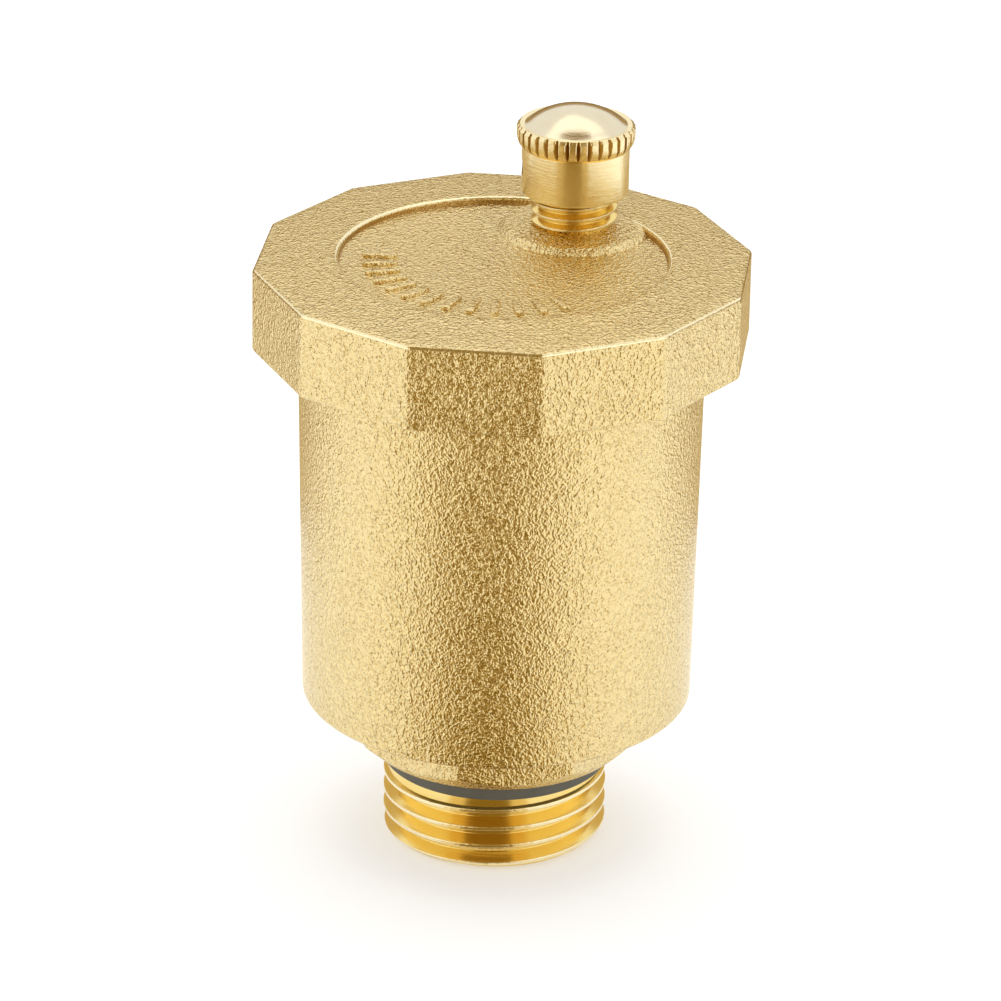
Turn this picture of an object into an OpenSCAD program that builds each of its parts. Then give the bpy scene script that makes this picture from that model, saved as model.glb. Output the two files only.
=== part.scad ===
// Automatic air vent: a drum-shaped float chamber on a threaded inlet, closed by a screwed
// twelve-sided cover that carries the float valve, the vent neck and its knurled cap.
// Millimetres, +Z up. The origin is on the inlet's axis at the end face of its thread, and the
// vent lies towards +X.

/* [Inlet] */
// Outside diameter of the inlet thread (G 1/2)
inlet_d = 20.955; // [20.5:0.005:21.5]
// Pitch of the inlet thread (14 threads to the inch)
inlet_pitch = 1.814; // [1.75:0.001:1.85]
// Diameter of the inlet passage
inlet_bore_d = 15; // [12:0.5:15.5]
// Thickness of the ring that seals under the octagon
inlet_seal_t = 1.9; // [1.5:0.1:2.2]

/* [Chamber] */
// Width of the wrench octagon across its flats
octagon_af = 26; // [25:0.1:28]
// Height of the wrench octagon
octagon_h = 5; // [4:0.1:6]
// Height of the drum between the octagon and the cover
drum_h = 34.6; // [34:0.1:40]
// Radius of the drum at its foot
drum_foot_r = 18.15; // [18:0.05:18.3]
// Radius of the drum under the cover
drum_top_r = 18.65; // [18.55:0.05:18.8]
// Radius of the float chamber
chamber_r = 16; // [15.8:0.05:16.1]

/* [Cover] */
// Width of the cover across its flats
cover_af = 44.36; // [43:0.1:48]
// Height of the cover's flat sides
cover_h = 8.05; // [7.8:0.05:8.5]
// Rounding of the cover's upright corners
cover_corner_r = 1.8; // [0.5:0.1:3]
// Radius of the round recess in the cover's top
recess_r = 15; // [14.5:0.1:15.5]
// Distance from the inlet's axis to the vent's axis
vent_x = 10.9; // [10.7:0.05:10.9]

/* [Vent] */
// Outside diameter of the neck's thread (M8 x 1)
neck_d = 8; // [7.8:0.05:8.1]
// Height of the neck above the boss
neck_h = 4.85; // [4.6:0.05:5]
// Diameter of the cap's barrel
cap_d = 9.9; // [9.8:0.05:10.4]
// Diameter over the cap's knurled rim
cap_rim_d = 10.9; // [10.7:0.05:12]
// Number of teeth on the cap's rim
cap_teeth = 33; // [24:1:48]
// Distance that the cap stands open, above its closed place
cap_open = 2; // [1.5:0.1:2]

/* [Float] */
// Outside diameter of the float
float_d = 26.8; // [24:0.1:27]
// Wall of the float
float_wall = 1; // [0.8:0.1:1.4]
// Depth of the float's lid
float_lid_h = 3; // [2.5:0.1:4]

/* [Hidden] */

$fn = 64;
CAST = [0.86, 0.74, 0.48];
TURNED = [0.88, 0.68, 0.32];
STEEL = [0.75, 0.76, 0.78];
RUBBER = [0.12, 0.12, 0.12];
PLASTIC = [0.88, 0.88, 0.84];

// Levels, from the thread's end face upwards
inlet_crests = 4;
relief_h = 0.25;
thread_h = inlet_crests * inlet_pitch;
seal_z = thread_h + relief_h;
octagon_z = seal_z + inlet_seal_t;
drum_z = octagon_z + octagon_h;
floor_z = drum_z + 2.4;
drum_top_z = drum_z + drum_h;
cover_z = drum_top_z + 0.1;
plate_z = cover_z + 5.3;
gasket_t = 1;
rim_z = plate_z - gasket_t;
edge_z = cover_z + cover_h;
recess_z = edge_z - 0.3;
lip_z = edge_z + 0.35;
boss_z = edge_z + 0.55;
neck_z = boss_z + neck_h;

// Inlet thread and the groove for its seal
inlet_r = inlet_d / 2;
inlet_root_r = inlet_r - 1.162;
crest_half = 0.15;
chamfer = 0.73;
groove_r = 9.2;
seal_r = 10.9;

// Thread between the drum and the cover (M37 x 1.5)
joint_r = 18.5;
joint_pitch = 1.5;
joint_depth = 0.82;
joint_crests = 3;
joint_start = 0.7;
joint_clear = 0.05;

// Ribs on the chamber's floor, which keep the float off the inlet
rib_count = 4;
rib_h = 1.4;
rib_w = 1.6;
rib_start_r = 8.6;

// Bosses and valve under the cover
pad_h = 0.8;
boss_rim_r = 6.1;
boss_rim_h = 0.5;
boss_foot_r = 6.95;
screw_x = 4.5;
screw_y = 7;
screw_pad_r = 3.4;
screw_r = 1.5;
screw_h = 3.6;
screw_head_r = 2.6;
screw_head_h = 1.8;
slot_w = 0.7;
slot_depth = 0.9;
washer_r = 3;
washer_t = 0.5;
sheet_t = 0.8;
pad_z = plate_z - pad_h;
base_z = pad_z - sheet_t;
air_r = 1.6;
nozzle_r = 3;
nozzle_top_z = edge_z + 2.1;
nozzle_head_h = 1.2;
nozzle_head_af = 8;
jet_r = 0.75;
seat_r = 1.3;
seat_h = 0.6;
head_z = base_z - nozzle_head_h;
seat_z = head_z - seat_h;
ring_groove_z = plate_z + 1.6;
ring_section = 0.9;

// Lever and its pivot: positive angles lift the float and close the valve
pivot_x = 13.2;
pivot_z = base_z - 7.2;
valve_lift = 0.69;
lever_half_w = 4.2;
lever_eye_r = 1.25;
lever_top_z = pivot_z + 0.4;
lever_low_z = pivot_z - 1;
link_gap = 2.2;
pivot_pin_r = 0.8;
pin_head_r = 1.3;
pin_head_h = 0.7;
clip_groove_r = 0.5;
clip_t = 0.4;
clip_r = 1.4;
link_pin_r = 0.7;
run_clear = 0.04;
ear_half_w = 5.2;
ear_gap = 0.2;
ear_tip_x = 14.6;
guide_z = pivot_z + 2;
guide_low_x = 9;
guide_high_x = 12.8;
stop_low_x = 9.4;
stop_high_x = 11.4;
stop_gap = 0.05;
stop_t = 0.75;

// Plunger, pad and spring
plunger_r = 1.2;
plunger_gap = 0.08;
foot_z = lever_top_z + plunger_gap;
flange_z = guide_z + sheet_t + 0.1;
flange_r = 3.2;
flange_t = 0.6;
holder_r = 2.1;
holder_h = 0.7;
valve_pad_r = 1.5;
valve_pad_z = flange_z + flange_t + 0.3;
valve_pad_top_z = seat_z - valve_lift - 0.03;
spring_r = 2.7;
spring_wire_r = 0.2;
spring_turns = 4;
spring_steps = 24;
spring_sides = 8;

// Float, hung from the lever's end on the inlet's axis
float_r = float_d / 2;
float_z = floor_z + 2.2;
float_top_z = pivot_z - 7.1;
lid_z = float_top_z - float_lid_h;
lid_boss_r = 2.6;
lid_boss_z = float_top_z + 2.2;
link_r = 1.1;
link_eye_r = 1.6;
link_half_w = 1.5;
link_low_z = float_top_z + 0.4;
nut_af = 4;
nut_h = 1;

// Vent cap and its seal
cap_low_z = neck_z - 1.9;
cap_rim_z = cap_low_z + 4.6;
cap_rim_h = 2;
cap_dome_r = 4.6;
cap_dome_h = 1.6;
cap_seal_t = 1.1;
cap_seal_r = 3.8;
cap_seal_z = neck_z + cap_open + 0.05;
cap_roof_z = cap_seal_z + cap_seal_t + 0.1;
cap_bore_r = neck_d / 2 + 0.05;
cap_hole_r = 1;
cap_hole_z = cap_low_z + 2.3;
cap_hole_angle = 128;
tooth_depth = 0.35;

// Points of a quarter arc about c, from angle a to angle b
function arc(c, r, a, b, steps = 6) =
    [for (i = [0:steps]) let (t = a + (b - a) * i / steps) c + r * [cos(t), sin(t)]];

// Outline of a regular polygon whose corners are rounded
function rounded_corners(sides, apothem, r, turn, steps = 4) = [
    for (k = [0:sides - 1])
        let (
            mid = turn + 360 * k / sides,
            reach = (apothem - r) / cos(180 / sides),
            centre = reach * [cos(mid), sin(mid)]
        )
            each arc(centre, r, mid - 180 / sides, mid + 180 / sides, steps)
];

// Outline of a rim with straight teeth
function toothed(count, r, depth) = [
    for (k = [0:count - 1])
        let (step = 360 / count, mid = k * step)
            each [
                (r - depth) * [cos(mid - 0.5 * step), sin(mid - 0.5 * step)],
                r * [cos(mid - 0.22 * step), sin(mid - 0.22 * step)],
                r * [cos(mid + 0.22 * step), sin(mid + 0.22 * step)]
            ]
];

// Rings with a flat crest, which stand for the turns of a thread
module crests(count, pitch, first_z, crest_r, root_r, flat) {
    for (i = [0:count - 1])
        translate([0, 0, first_z + i * pitch])
            rotate_extrude()
                polygon([
                    [root_r - 0.3, -0.45 * pitch], [root_r, -0.45 * pitch], [crest_r, -flat],
                    [crest_r, flat], [root_r, 0.45 * pitch], [root_r - 0.3, 0.45 * pitch]
                ]);
}

// Grooves with a flat bottom, the counterpart of crests()
module grooves(count, pitch, first_z, low_r, deep_r, flat) {
    for (i = [0:count - 1])
        translate([0, 0, first_z + i * pitch])
            rotate_extrude()
                polygon([
                    [low_r - 0.3, -0.45 * pitch], [low_r, -0.45 * pitch], [deep_r, -flat],
                    [deep_r, flat], [low_r, 0.45 * pitch], [low_r - 0.3, 0.45 * pitch]
                ]);
}

// A plate in the XZ plane, given by its outline and its two Y faces
module side_plate(points, low_y, high_y) {
    translate([0, high_y, 0])
        rotate([90, 0, 0])
            linear_extrude(high_y - low_y)
                polygon(points);
}

module across(x, z, r, half_w) {
    translate([x, 0, z])
        rotate([90, 0, 0])
            cylinder(r = r, h = 2 * half_w, center = true);
}

module at_vent() {
    translate([vent_x, 0, 0]) children();
}

module at_screws() {
    for (side = [-1, 1])
        translate([screw_x, side * screw_y, 0]) children();
}

module inlet_thread() {
    intersection() {
        union() {
            cylinder(r = inlet_root_r, h = thread_h);
            crests(inlet_crests, inlet_pitch, 0.47 * inlet_pitch, inlet_r, inlet_root_r,
                crest_half);
        }
        union() {
            cylinder(r1 = inlet_r - chamfer, r2 = inlet_r, h = chamfer);
            translate([0, 0, chamfer]) cylinder(r = inlet_r, h = thread_h);
        }
    }
    cylinder(r = groove_r, h = drum_z);
}

module octagon() {
    corner_r = octagon_af / 2 / cos(22.5);
    foot_r = 12.15;
    intersection() {
        translate([0, 0, octagon_z])
            rotate(22.5) cylinder(r = corner_r, h = octagon_h + 1, $fn = 8);
        translate([0, 0, octagon_z])
            cylinder(r1 = foot_r, r2 = foot_r + 6.6, h = 6);
    }
}

module drum() {
    round_r = 0.6;
    rotate_extrude()
        polygon(concat(
            [[0, drum_z]],
            arc([drum_foot_r - round_r, drum_z + round_r], round_r, -90, 0),
            [
                [drum_top_r, drum_top_z], [joint_r - joint_depth, drum_top_z],
                [joint_r - joint_depth, rim_z], [0, rim_z]
            ]
        ));
    crests(joint_crests, joint_pitch, drum_top_z + joint_start, joint_r, joint_r - joint_depth, 0.12);
}

module body() {
    color(CAST)
        difference() {
            union() {
                inlet_thread();
                octagon();
                drum();
            }
            translate([0, 0, -1]) cylinder(r = inlet_bore_d / 2, h = floor_z + 2);
            difference() {
                translate([0, 0, floor_z]) cylinder(r = chamber_r, h = rim_z);
                for (k = [0:rib_count - 1])
                    rotate(45 + 360 * k / rib_count)
                        translate([rib_start_r, -rib_w / 2, floor_z - 1])
                            cube([chamber_r, rib_w, rib_h + 1]);
            }
        }
}

module inlet_seal_ring() {
    color(RUBBER)
        difference() {
            translate([0, 0, seal_z]) cylinder(r = seal_r, h = inlet_seal_t);
            cylinder(r = groove_r, h = drum_z);
        }
}

module cover_shell() {
    apothem = cover_af / 2;
    intersection() {
        translate([0, 0, cover_z])
            linear_extrude(lip_z - cover_z)
                polygon(rounded_corners(12, apothem, cover_corner_r, 15));
        rotate_extrude()
            polygon([
                [0, cover_z], [apothem + 0.4, cover_z], [apothem + 0.8, cover_z + 0.4],
                [apothem + 0.8, edge_z - 0.3], [apothem, edge_z], [recess_r + 1, lip_z],
                [recess_r + 0.5, lip_z], [recess_r, recess_z], [0, recess_z]
            ]);
    }
}

module vent_boss() {
    at_vent() {
        translate([0, 0, recess_z - 1])
            cylinder(r = boss_foot_r, h = 1);
        translate([0, 0, recess_z])
            cylinder(r1 = boss_foot_r, r2 = boss_rim_r, h = boss_rim_h);
        translate([0, 0, recess_z + boss_rim_h])
            cylinder(r1 = boss_rim_r, r2 = neck_d / 2, h = boss_z - recess_z - boss_rim_h);
        translate([0, 0, boss_z - 1]) cylinder(r = neck_d / 2 - 0.6, h = neck_h + 1);
        crests(4, 1, boss_z + 1, neck_d / 2, neck_d / 2 - 0.6, 0.1);
    }
}

module cover() {
    color(CAST)
        difference() {
            union() {
                difference() {
                    union() {
                        cover_shell();
                        vent_boss();
                    }
                    translate([0, 0, cover_z - 1])
                        cylinder(r = drum_top_r + joint_clear, h = 1.4);
                    translate([0, 0, cover_z - 1])
                        cylinder(r = joint_r - joint_depth + joint_clear,
                            h = plate_z - cover_z + 1);
                    grooves(joint_crests, joint_pitch, drum_top_z + joint_start,
                        joint_r - joint_depth + joint_clear, joint_r + joint_clear, 0.17);
                }
                translate([0, 0, pad_z]) {
                    at_vent() cylinder(r = 4.5, h = pad_h + 1);
                    at_screws() cylinder(r = screw_pad_r, h = pad_h + 1);
                }
            }
            at_vent() {
                translate([0, 0, pad_z - 1]) cylinder(r = nozzle_r, h = nozzle_top_z - pad_z + 1);
                cylinder(r = air_r, h = neck_z + 1);
            }
            at_screws() translate([0, 0, pad_z - 1]) cylinder(r = screw_r, h = screw_h - 0.2);
        }
}

module cover_gasket() {
    color(RUBBER)
        difference() {
            translate([0, 0, rim_z]) cylinder(r = joint_r - joint_depth, h = gasket_t);
            cylinder(r = chamber_r, h = plate_z + 1);
        }
}

module vent_nozzle() {
    color(TURNED)
        at_vent()
            difference() {
                union() {
                    translate([0, 0, base_z]) cylinder(r = nozzle_r, h = nozzle_top_z - base_z);
                    translate([0, 0, head_z])
                        cylinder(r = nozzle_head_af / 2 / cos(30), h = nozzle_head_h, $fn = 6);
                    translate([0, 0, seat_z]) cylinder(r = seat_r, h = seat_h + 0.1);
                }
                translate([0, 0, ring_groove_z])
                    difference() {
                        cylinder(r = nozzle_r + 1, h = ring_section);
                        cylinder(r = nozzle_r - ring_section, h = ring_section);
                    }
                cylinder(r = jet_r, h = neck_z);
            }
}

module nozzle_o_ring() {
    color(RUBBER)
        at_vent()
            translate([0, 0, ring_groove_z + ring_section / 2])
                rotate_extrude()
                    translate([nozzle_r - ring_section / 2, 0]) circle(d = ring_section);
}

module lever_bracket() {
    ear_y = ear_half_w - sheet_t;
    ear = [
        [7, base_z + sheet_t], [7, base_z - 2], [stop_low_x, guide_z],
        [stop_low_x, lever_low_z - stop_gap - stop_t], [stop_high_x, lever_low_z - stop_gap - stop_t],
        [pivot_x, pivot_z - 1.4], [ear_tip_x, pivot_z - 0.6], [ear_tip_x, base_z + sheet_t]
    ];
    color(STEEL)
        difference() {
            union() {
                translate([7, -ear_half_w, base_z])
                    cube([ear_tip_x - 7, 2 * ear_half_w, sheet_t]);
                translate([screw_x - 3.2, -screw_y - 3.2, base_z])
                    cube([6.4, 2 * screw_y + 6.4, sheet_t]);
                side_plate(ear, ear_y, ear_half_w);
                side_plate(ear, -ear_half_w, -ear_y);
                translate([guide_low_x, -ear_half_w, guide_z])
                    cube([guide_high_x - guide_low_x, 2 * ear_half_w, sheet_t]);
                translate([stop_low_x, -ear_half_w, lever_low_z - stop_gap - stop_t])
                    cube([stop_high_x - stop_low_x, 2 * ear_half_w, stop_t]);
            }
            at_vent() {
                translate([0, 0, base_z - 1]) cylinder(r = nozzle_r + 0.05, h = 3);
                translate([0, 0, guide_z - 1]) cylinder(r = plunger_r + run_clear, h = 3);
            }
            at_screws() translate([0, 0, base_z - 1]) cylinder(r = screw_r + 0.1, h = 3);
            across(pivot_x, pivot_z, pivot_pin_r, ear_half_w + 1);
        }
}

module bracket_screws() {
    color(STEEL)
        at_screws()
            translate([0, 0, base_z - washer_t]) {
                cylinder(r = screw_r, h = screw_h);
                difference() {
                    translate([0, 0, -screw_head_h])
                        cylinder(r1 = screw_head_r - 0.6, r2 = screw_head_r, h = screw_head_h);
                    translate([-screw_head_r - 1, -slot_w / 2, -screw_head_h - 1])
                        cube([2 * screw_head_r + 2, slot_w, slot_depth + 1]);
                }
            }
}

module bracket_washers() {
    color(STEEL)
        at_screws()
            translate([0, 0, base_z - washer_t])
                difference() {
                    cylinder(r = washer_r, h = washer_t);
                    translate([0, 0, -1]) cylinder(r = screw_r + 0.1, h = washer_t + 2);
                }
}

module valve_lever() {
    cheek_y = lever_half_w - sheet_t;
    bar = [
        [0, lever_low_z], [pivot_x, lever_low_z], [pivot_x, lever_top_z], [0, lever_top_z]
    ];
    color(STEEL)
        difference() {
            union() {
                for (low_y = [-lever_half_w, cheek_y]) {
                    side_plate(bar, low_y, low_y + sheet_t);
                    for (x = [0, pivot_x])
                        translate([x, low_y + sheet_t, pivot_z])
                            rotate([90, 0, 0]) cylinder(r = lever_eye_r, h = sheet_t);
                }
                translate([link_gap, -lever_half_w, lever_top_z - sheet_t])
                    cube([pivot_x - 1.2 - link_gap, 2 * lever_half_w, sheet_t]);
            }
            across(pivot_x, pivot_z, pivot_pin_r + run_clear, lever_half_w + 1);
            across(0, pivot_z, link_pin_r, lever_half_w + 1);
        }
}

module lever_pin() {
    color(STEEL)
        difference() {
            union() {
                translate([pivot_x, ear_half_w + pin_head_h, pivot_z])
                    rotate([90, 0, 0]) {
                        cylinder(r = pivot_pin_r, h = 2 * ear_half_w + pin_head_h + 1);
                        cylinder(r = pin_head_r, h = pin_head_h);
                    }
            }
            translate([pivot_x, -ear_half_w - 0.1, pivot_z])
                rotate([90, 0, 0])
                    difference() {
                        cylinder(r = 2, h = clip_t);
                        cylinder(r = clip_groove_r, h = clip_t);
                    }
        }
}

module lever_pin_clip() {
    color(STEEL)
        translate([pivot_x, -ear_half_w - 0.1, pivot_z])
            rotate([90, 0, 0])
                difference() {
                    cylinder(r = clip_r, h = clip_t);
                    translate([0, 0, -1]) cylinder(r = clip_groove_r, h = 2);
                    translate([-0.4, 0, -1]) cube([0.8, 3, 2]);
                }
}

module valve_plunger() {
    color(TURNED)
        at_vent()
            difference() {
                union() {
                    translate([0, 0, foot_z + 0.8]) sphere(r = 0.8);
                    translate([0, 0, foot_z + 0.8])
                        cylinder(r1 = 0.8, r2 = plunger_r, h = 0.4);
                    translate([0, 0, foot_z + 1.2])
                        cylinder(r = plunger_r, h = flange_z - foot_z - 1.2 + flange_t);
                    translate([0, 0, flange_z]) cylinder(r = flange_r, h = flange_t);
                    translate([0, 0, flange_z])
                        cylinder(r = holder_r, h = flange_t + holder_h);
                }
                translate([0, 0, valve_pad_z]) cylinder(r = valve_pad_r, h = 3);
            }
}

module valve_pad() {
    color(RUBBER)
        at_vent()
            translate([0, 0, valve_pad_z])
                cylinder(r = valve_pad_r, h = valve_pad_top_z - valve_pad_z);
}

// A round wire wound from the plunger's flange up to the nozzle's head
module valve_spring() {
    low_z = flange_z + flange_t + spring_wire_r;
    rise = head_z - spring_wire_r - low_z;
    rings = spring_turns * spring_steps;
    points = [
        for (i = [0:rings], k = [0:spring_sides - 1])
            let (
                turn = 360 * i / spring_steps,
                around = 360 * k / spring_sides,
                reach = spring_r + spring_wire_r * cos(around)
            )
                [
                    reach * cos(turn), reach * sin(turn),
                    low_z + rise * i / rings + spring_wire_r * sin(around)
                ]
    ];
    sides = [
        for (i = [0:rings - 1], k = [0:spring_sides - 1])
            let (a = i * spring_sides, b = a + spring_sides, n = (k + 1) % spring_sides)
                [a + k, b + k, b + n, a + n]
    ];
    ends = [
        [for (k = [0:spring_sides - 1]) k],
        [for (k = [0:spring_sides - 1]) (rings + 1) * spring_sides - 1 - k]
    ];
    color(STEEL) at_vent() polyhedron(points, concat(sides, ends), convexity = 8);
}

module float_shell() {
    color(PLASTIC)
        difference() {
            rotate_extrude()
                polygon(concat(
                    [[0, float_z]],
                    arc([float_r - 3, float_z + 3], 3, -90, 0),
                    [[float_r, lid_z], [0, lid_z]]
                ));
            translate([0, 0, float_z + float_wall])
                cylinder(r = float_r - float_wall - 1.2, h = 3);
            translate([0, 0, float_z + 2.2])
                cylinder(r = float_r - float_wall, h = lid_z);
        }
}

module float_lid() {
    color(PLASTIC)
        difference() {
            union() {
                rotate_extrude()
                    polygon(concat(
                        [[0, lid_z], [float_r, lid_z]],
                        arc([float_r - 1.5, float_top_z - 1.5], 1.5, 0, 90),
                        [[0, float_top_z]]
                    ));
                cylinder(r = lid_boss_r, h = lid_boss_z);
            }
            cylinder(r = float_r - float_wall, h = float_top_z - float_wall);
            translate([0, 0, link_low_z]) cylinder(r = link_r, h = 5);
        }
}

module float_link() {
    color(STEEL)
        difference() {
            union() {
                translate([0, 0, link_low_z]) cylinder(r = link_r, h = pivot_z - 1 - link_low_z);
                across(0, pivot_z, link_eye_r, link_half_w);
            }
            across(0, pivot_z, link_pin_r + run_clear, link_half_w + 1);
        }
}

module float_link_nut() {
    color(STEEL)
        translate([0, 0, lid_boss_z])
            difference() {
                cylinder(r = nut_af / 2 / cos(30), h = nut_h, $fn = 6);
                translate([0, 0, -1]) cylinder(r = link_r, h = nut_h + 2);
            }
}

module float_link_pin() {
    color(STEEL) {
        across(0, pivot_z, link_pin_r, lever_half_w + 0.1);
        for (turn = [90, -90])
            translate([0, 0, pivot_z])
                rotate([turn, 0, 0])
                    translate([0, 0, lever_half_w]) cylinder(r1 = 1.1, r2 = 0.8, h = 0.5);
    }
}

module vent_cap() {
    cap_top_z = cap_rim_z + cap_rim_h;
    ball_r = (pow(cap_dome_r, 2) + pow(cap_dome_h, 2)) / (2 * cap_dome_h);
    color(TURNED)
        at_vent()
            difference() {
                union() {
                    translate([0, 0, cap_low_z])
                        cylinder(d1 = cap_d - 0.5, d2 = cap_d, h = 0.25);
                    translate([0, 0, cap_low_z + 0.25])
                        cylinder(d = cap_d, h = cap_rim_z - cap_low_z);
                    translate([0, 0, cap_rim_z])
                        linear_extrude(cap_rim_h - 0.2)
                            polygon(toothed(cap_teeth, cap_rim_d / 2, tooth_depth));
                    translate([0, 0, cap_top_z - 0.2])
                        cylinder(r1 = cap_rim_d / 2 - 0.2, r2 = cap_rim_d / 2 - 0.4, h = 0.2);
                    intersection() {
                        translate([0, 0, cap_top_z + cap_dome_h - ball_r]) sphere(r = ball_r);
                        translate([0, 0, cap_top_z - 0.1])
                            cylinder(r = cap_dome_r, h = cap_dome_h + 1);
                    }
                }
                translate([0, 0, cap_low_z - 1])
                    cylinder(r = cap_bore_r, h = cap_roof_z - cap_low_z + 1);
                translate([0, 0, cap_hole_z])
                    rotate([0, 90, cap_hole_angle]) cylinder(r = cap_hole_r, h = cap_d);
            }
}

module vent_cap_seal() {
    color(RUBBER)
        at_vent() translate([0, 0, cap_seal_z]) cylinder(r = cap_seal_r, h = cap_seal_t);
}

body();
inlet_seal_ring();
cover();
cover_gasket();
vent_cap();
vent_cap_seal();
vent_nozzle();
nozzle_o_ring();
lever_bracket();
bracket_screws();
bracket_washers();
valve_lever();
lever_pin();
lever_pin_clip();
valve_plunger();
valve_pad();
valve_spring();
float_shell();
float_lid();
float_link();
float_link_nut();
float_link_pin();
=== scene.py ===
import math

import bmesh
import bpy
from mathutils import Matrix, Vector


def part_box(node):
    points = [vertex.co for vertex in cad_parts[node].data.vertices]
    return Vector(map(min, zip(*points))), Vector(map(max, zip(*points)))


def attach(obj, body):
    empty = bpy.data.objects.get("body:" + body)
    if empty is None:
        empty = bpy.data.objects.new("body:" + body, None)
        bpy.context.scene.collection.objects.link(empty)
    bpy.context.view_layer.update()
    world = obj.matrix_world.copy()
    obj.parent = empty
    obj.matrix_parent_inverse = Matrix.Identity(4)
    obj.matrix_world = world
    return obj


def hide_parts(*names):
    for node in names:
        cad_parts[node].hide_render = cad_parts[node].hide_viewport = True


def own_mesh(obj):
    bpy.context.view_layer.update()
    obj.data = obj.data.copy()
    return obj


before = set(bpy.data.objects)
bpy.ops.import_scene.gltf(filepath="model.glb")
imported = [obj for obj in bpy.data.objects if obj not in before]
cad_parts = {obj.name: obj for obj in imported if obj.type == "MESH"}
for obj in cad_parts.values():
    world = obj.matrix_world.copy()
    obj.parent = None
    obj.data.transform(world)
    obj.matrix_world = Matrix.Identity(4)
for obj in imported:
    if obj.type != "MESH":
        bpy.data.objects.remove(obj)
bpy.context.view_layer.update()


# Body: one sand casting of brass, shot-blasted all over, with the inlet thread, the seal's
# groove and the cover's thread turned on it afterwards. Sizes are in millimetres here and in
# every section, and a piece is brought to metres when it is finished.
body_low, body_high = (corner * 1000 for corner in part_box("body"))
ring_low, ring_high = (corner * 1000 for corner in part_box("inlet_seal_ring"))
cover_low, cover_high = (corner * 1000 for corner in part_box("cover"))
gasket_low, gasket_high = (corner * 1000 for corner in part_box("cover_gasket"))
inlet_r = 10.4775
inlet_depth = 1.162
inlet_pitch = 1.814
groove_r = 9.2
bore_r = 7.5
octagon_af = 26.0
octagon_h = 5.0
octagon_foot_r = 12.15
octagon_flare = 1.1
octagon_corner = 0.7
drum_foot_r = 18.15
drum_top_r = 18.65
chamber_r = 16.0
chamber_floor = 2.4
joint_r = 18.5
joint_depth = 0.82
joint_pitch = 1.5
rib_count = 4
rib_inner_r = 8.5
rib_w, rib_h = 1.6, 1.8
run_out = 0.35
first_crest = (0.853, 216)
octagon_z = ring_high.z
drum_z = octagon_z + octagon_h
drum_top_z = cover_low.z - 0.1
rim_z = gasket_low.z


class Shade:
    """One socket of a material's nodes, so that a pattern reads as a formula."""

    def __init__(self, tree, socket=None):
        self.tree = tree
        self.socket = socket

    def node(self, kind, settings=None, sockets=None, out=0):
        made = self.tree.nodes.new(kind)
        for name, value in (settings or {}).items():
            setattr(made, name, value)
        for name, value in (sockets or {}).items():
            if isinstance(value, Shade):
                self.tree.links.new(value.socket, made.inputs[name])
            else:
                made.inputs[name].default_value = value
        return Shade(self.tree, made.outputs[out] if made.outputs else None)

    def maths(self, operation, first, second):
        return self.node("ShaderNodeMath", {"operation": operation}, {0: first, 1: second})

    def __add__(self, other):
        return self.maths("ADD", self, other)

    def __mul__(self, other):
        return self.maths("MULTIPLY", self, other)

    def power(self, exponent):
        return self.maths("POWER", self, exponent)

    def between(self, low, high):
        """0 where the value is at low, 1 at high, smooth between."""
        return self.node(
            "ShaderNodeMapRange",
            {"interpolation_type": "SMOOTHSTEP"},
            {"Value": self, "From Min": low, "From Max": high},
        )

    def blend(self, low, high):
        """Colour low where the value is 0, and high where it is 1."""
        return self.node("ShaderNodeMix", {"data_type": "RGBA"}, {0: self, 6: low, 7: high}, 2)

    def millimetres(self):
        """Where on the piece the shade is, in millimetres, so that a pattern has a real size."""
        place = self.node("ShaderNodeTexCoord", out="Object")
        return self.node(
            "ShaderNodeVectorMath", {"operation": "SCALE"}, {0: place, "Scale": 1000.0}
        )

    def noise(self, place, scale, detail=2.0, roughness=0.5):
        return self.node(
            "ShaderNodeTexNoise",
            sockets={"Vector": place, "Scale": scale, "Detail": detail, "Roughness": roughness},
        )

    def dents(self, place, scale, smoothness):
        """Distance from the middle of the nearest of many close, uneven dents."""
        return self.node(
            "ShaderNodeTexVoronoi", {"feature": "SMOOTH_F1"},
            {"Vector": place, "Scale": scale, "Smoothness": smoothness},
        )

    def stretched(self, place, factors):
        """Squeezes a pattern along the axes with the larger factors, so that it runs in lines."""
        return self.node(
            "ShaderNodeVectorMath", {"operation": "MULTIPLY"}, {0: place, 1: factors}
        )


def material(name, surface):
    """A material whose surface is made by a function that is handed its empty node tree."""
    made = bpy.data.materials.new(name)
    made.use_nodes = True
    made.node_tree.nodes.clear()
    start = Shade(made.node_tree)
    start.node("ShaderNodeOutputMaterial", sockets={"Surface": surface(start)})
    return made


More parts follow.
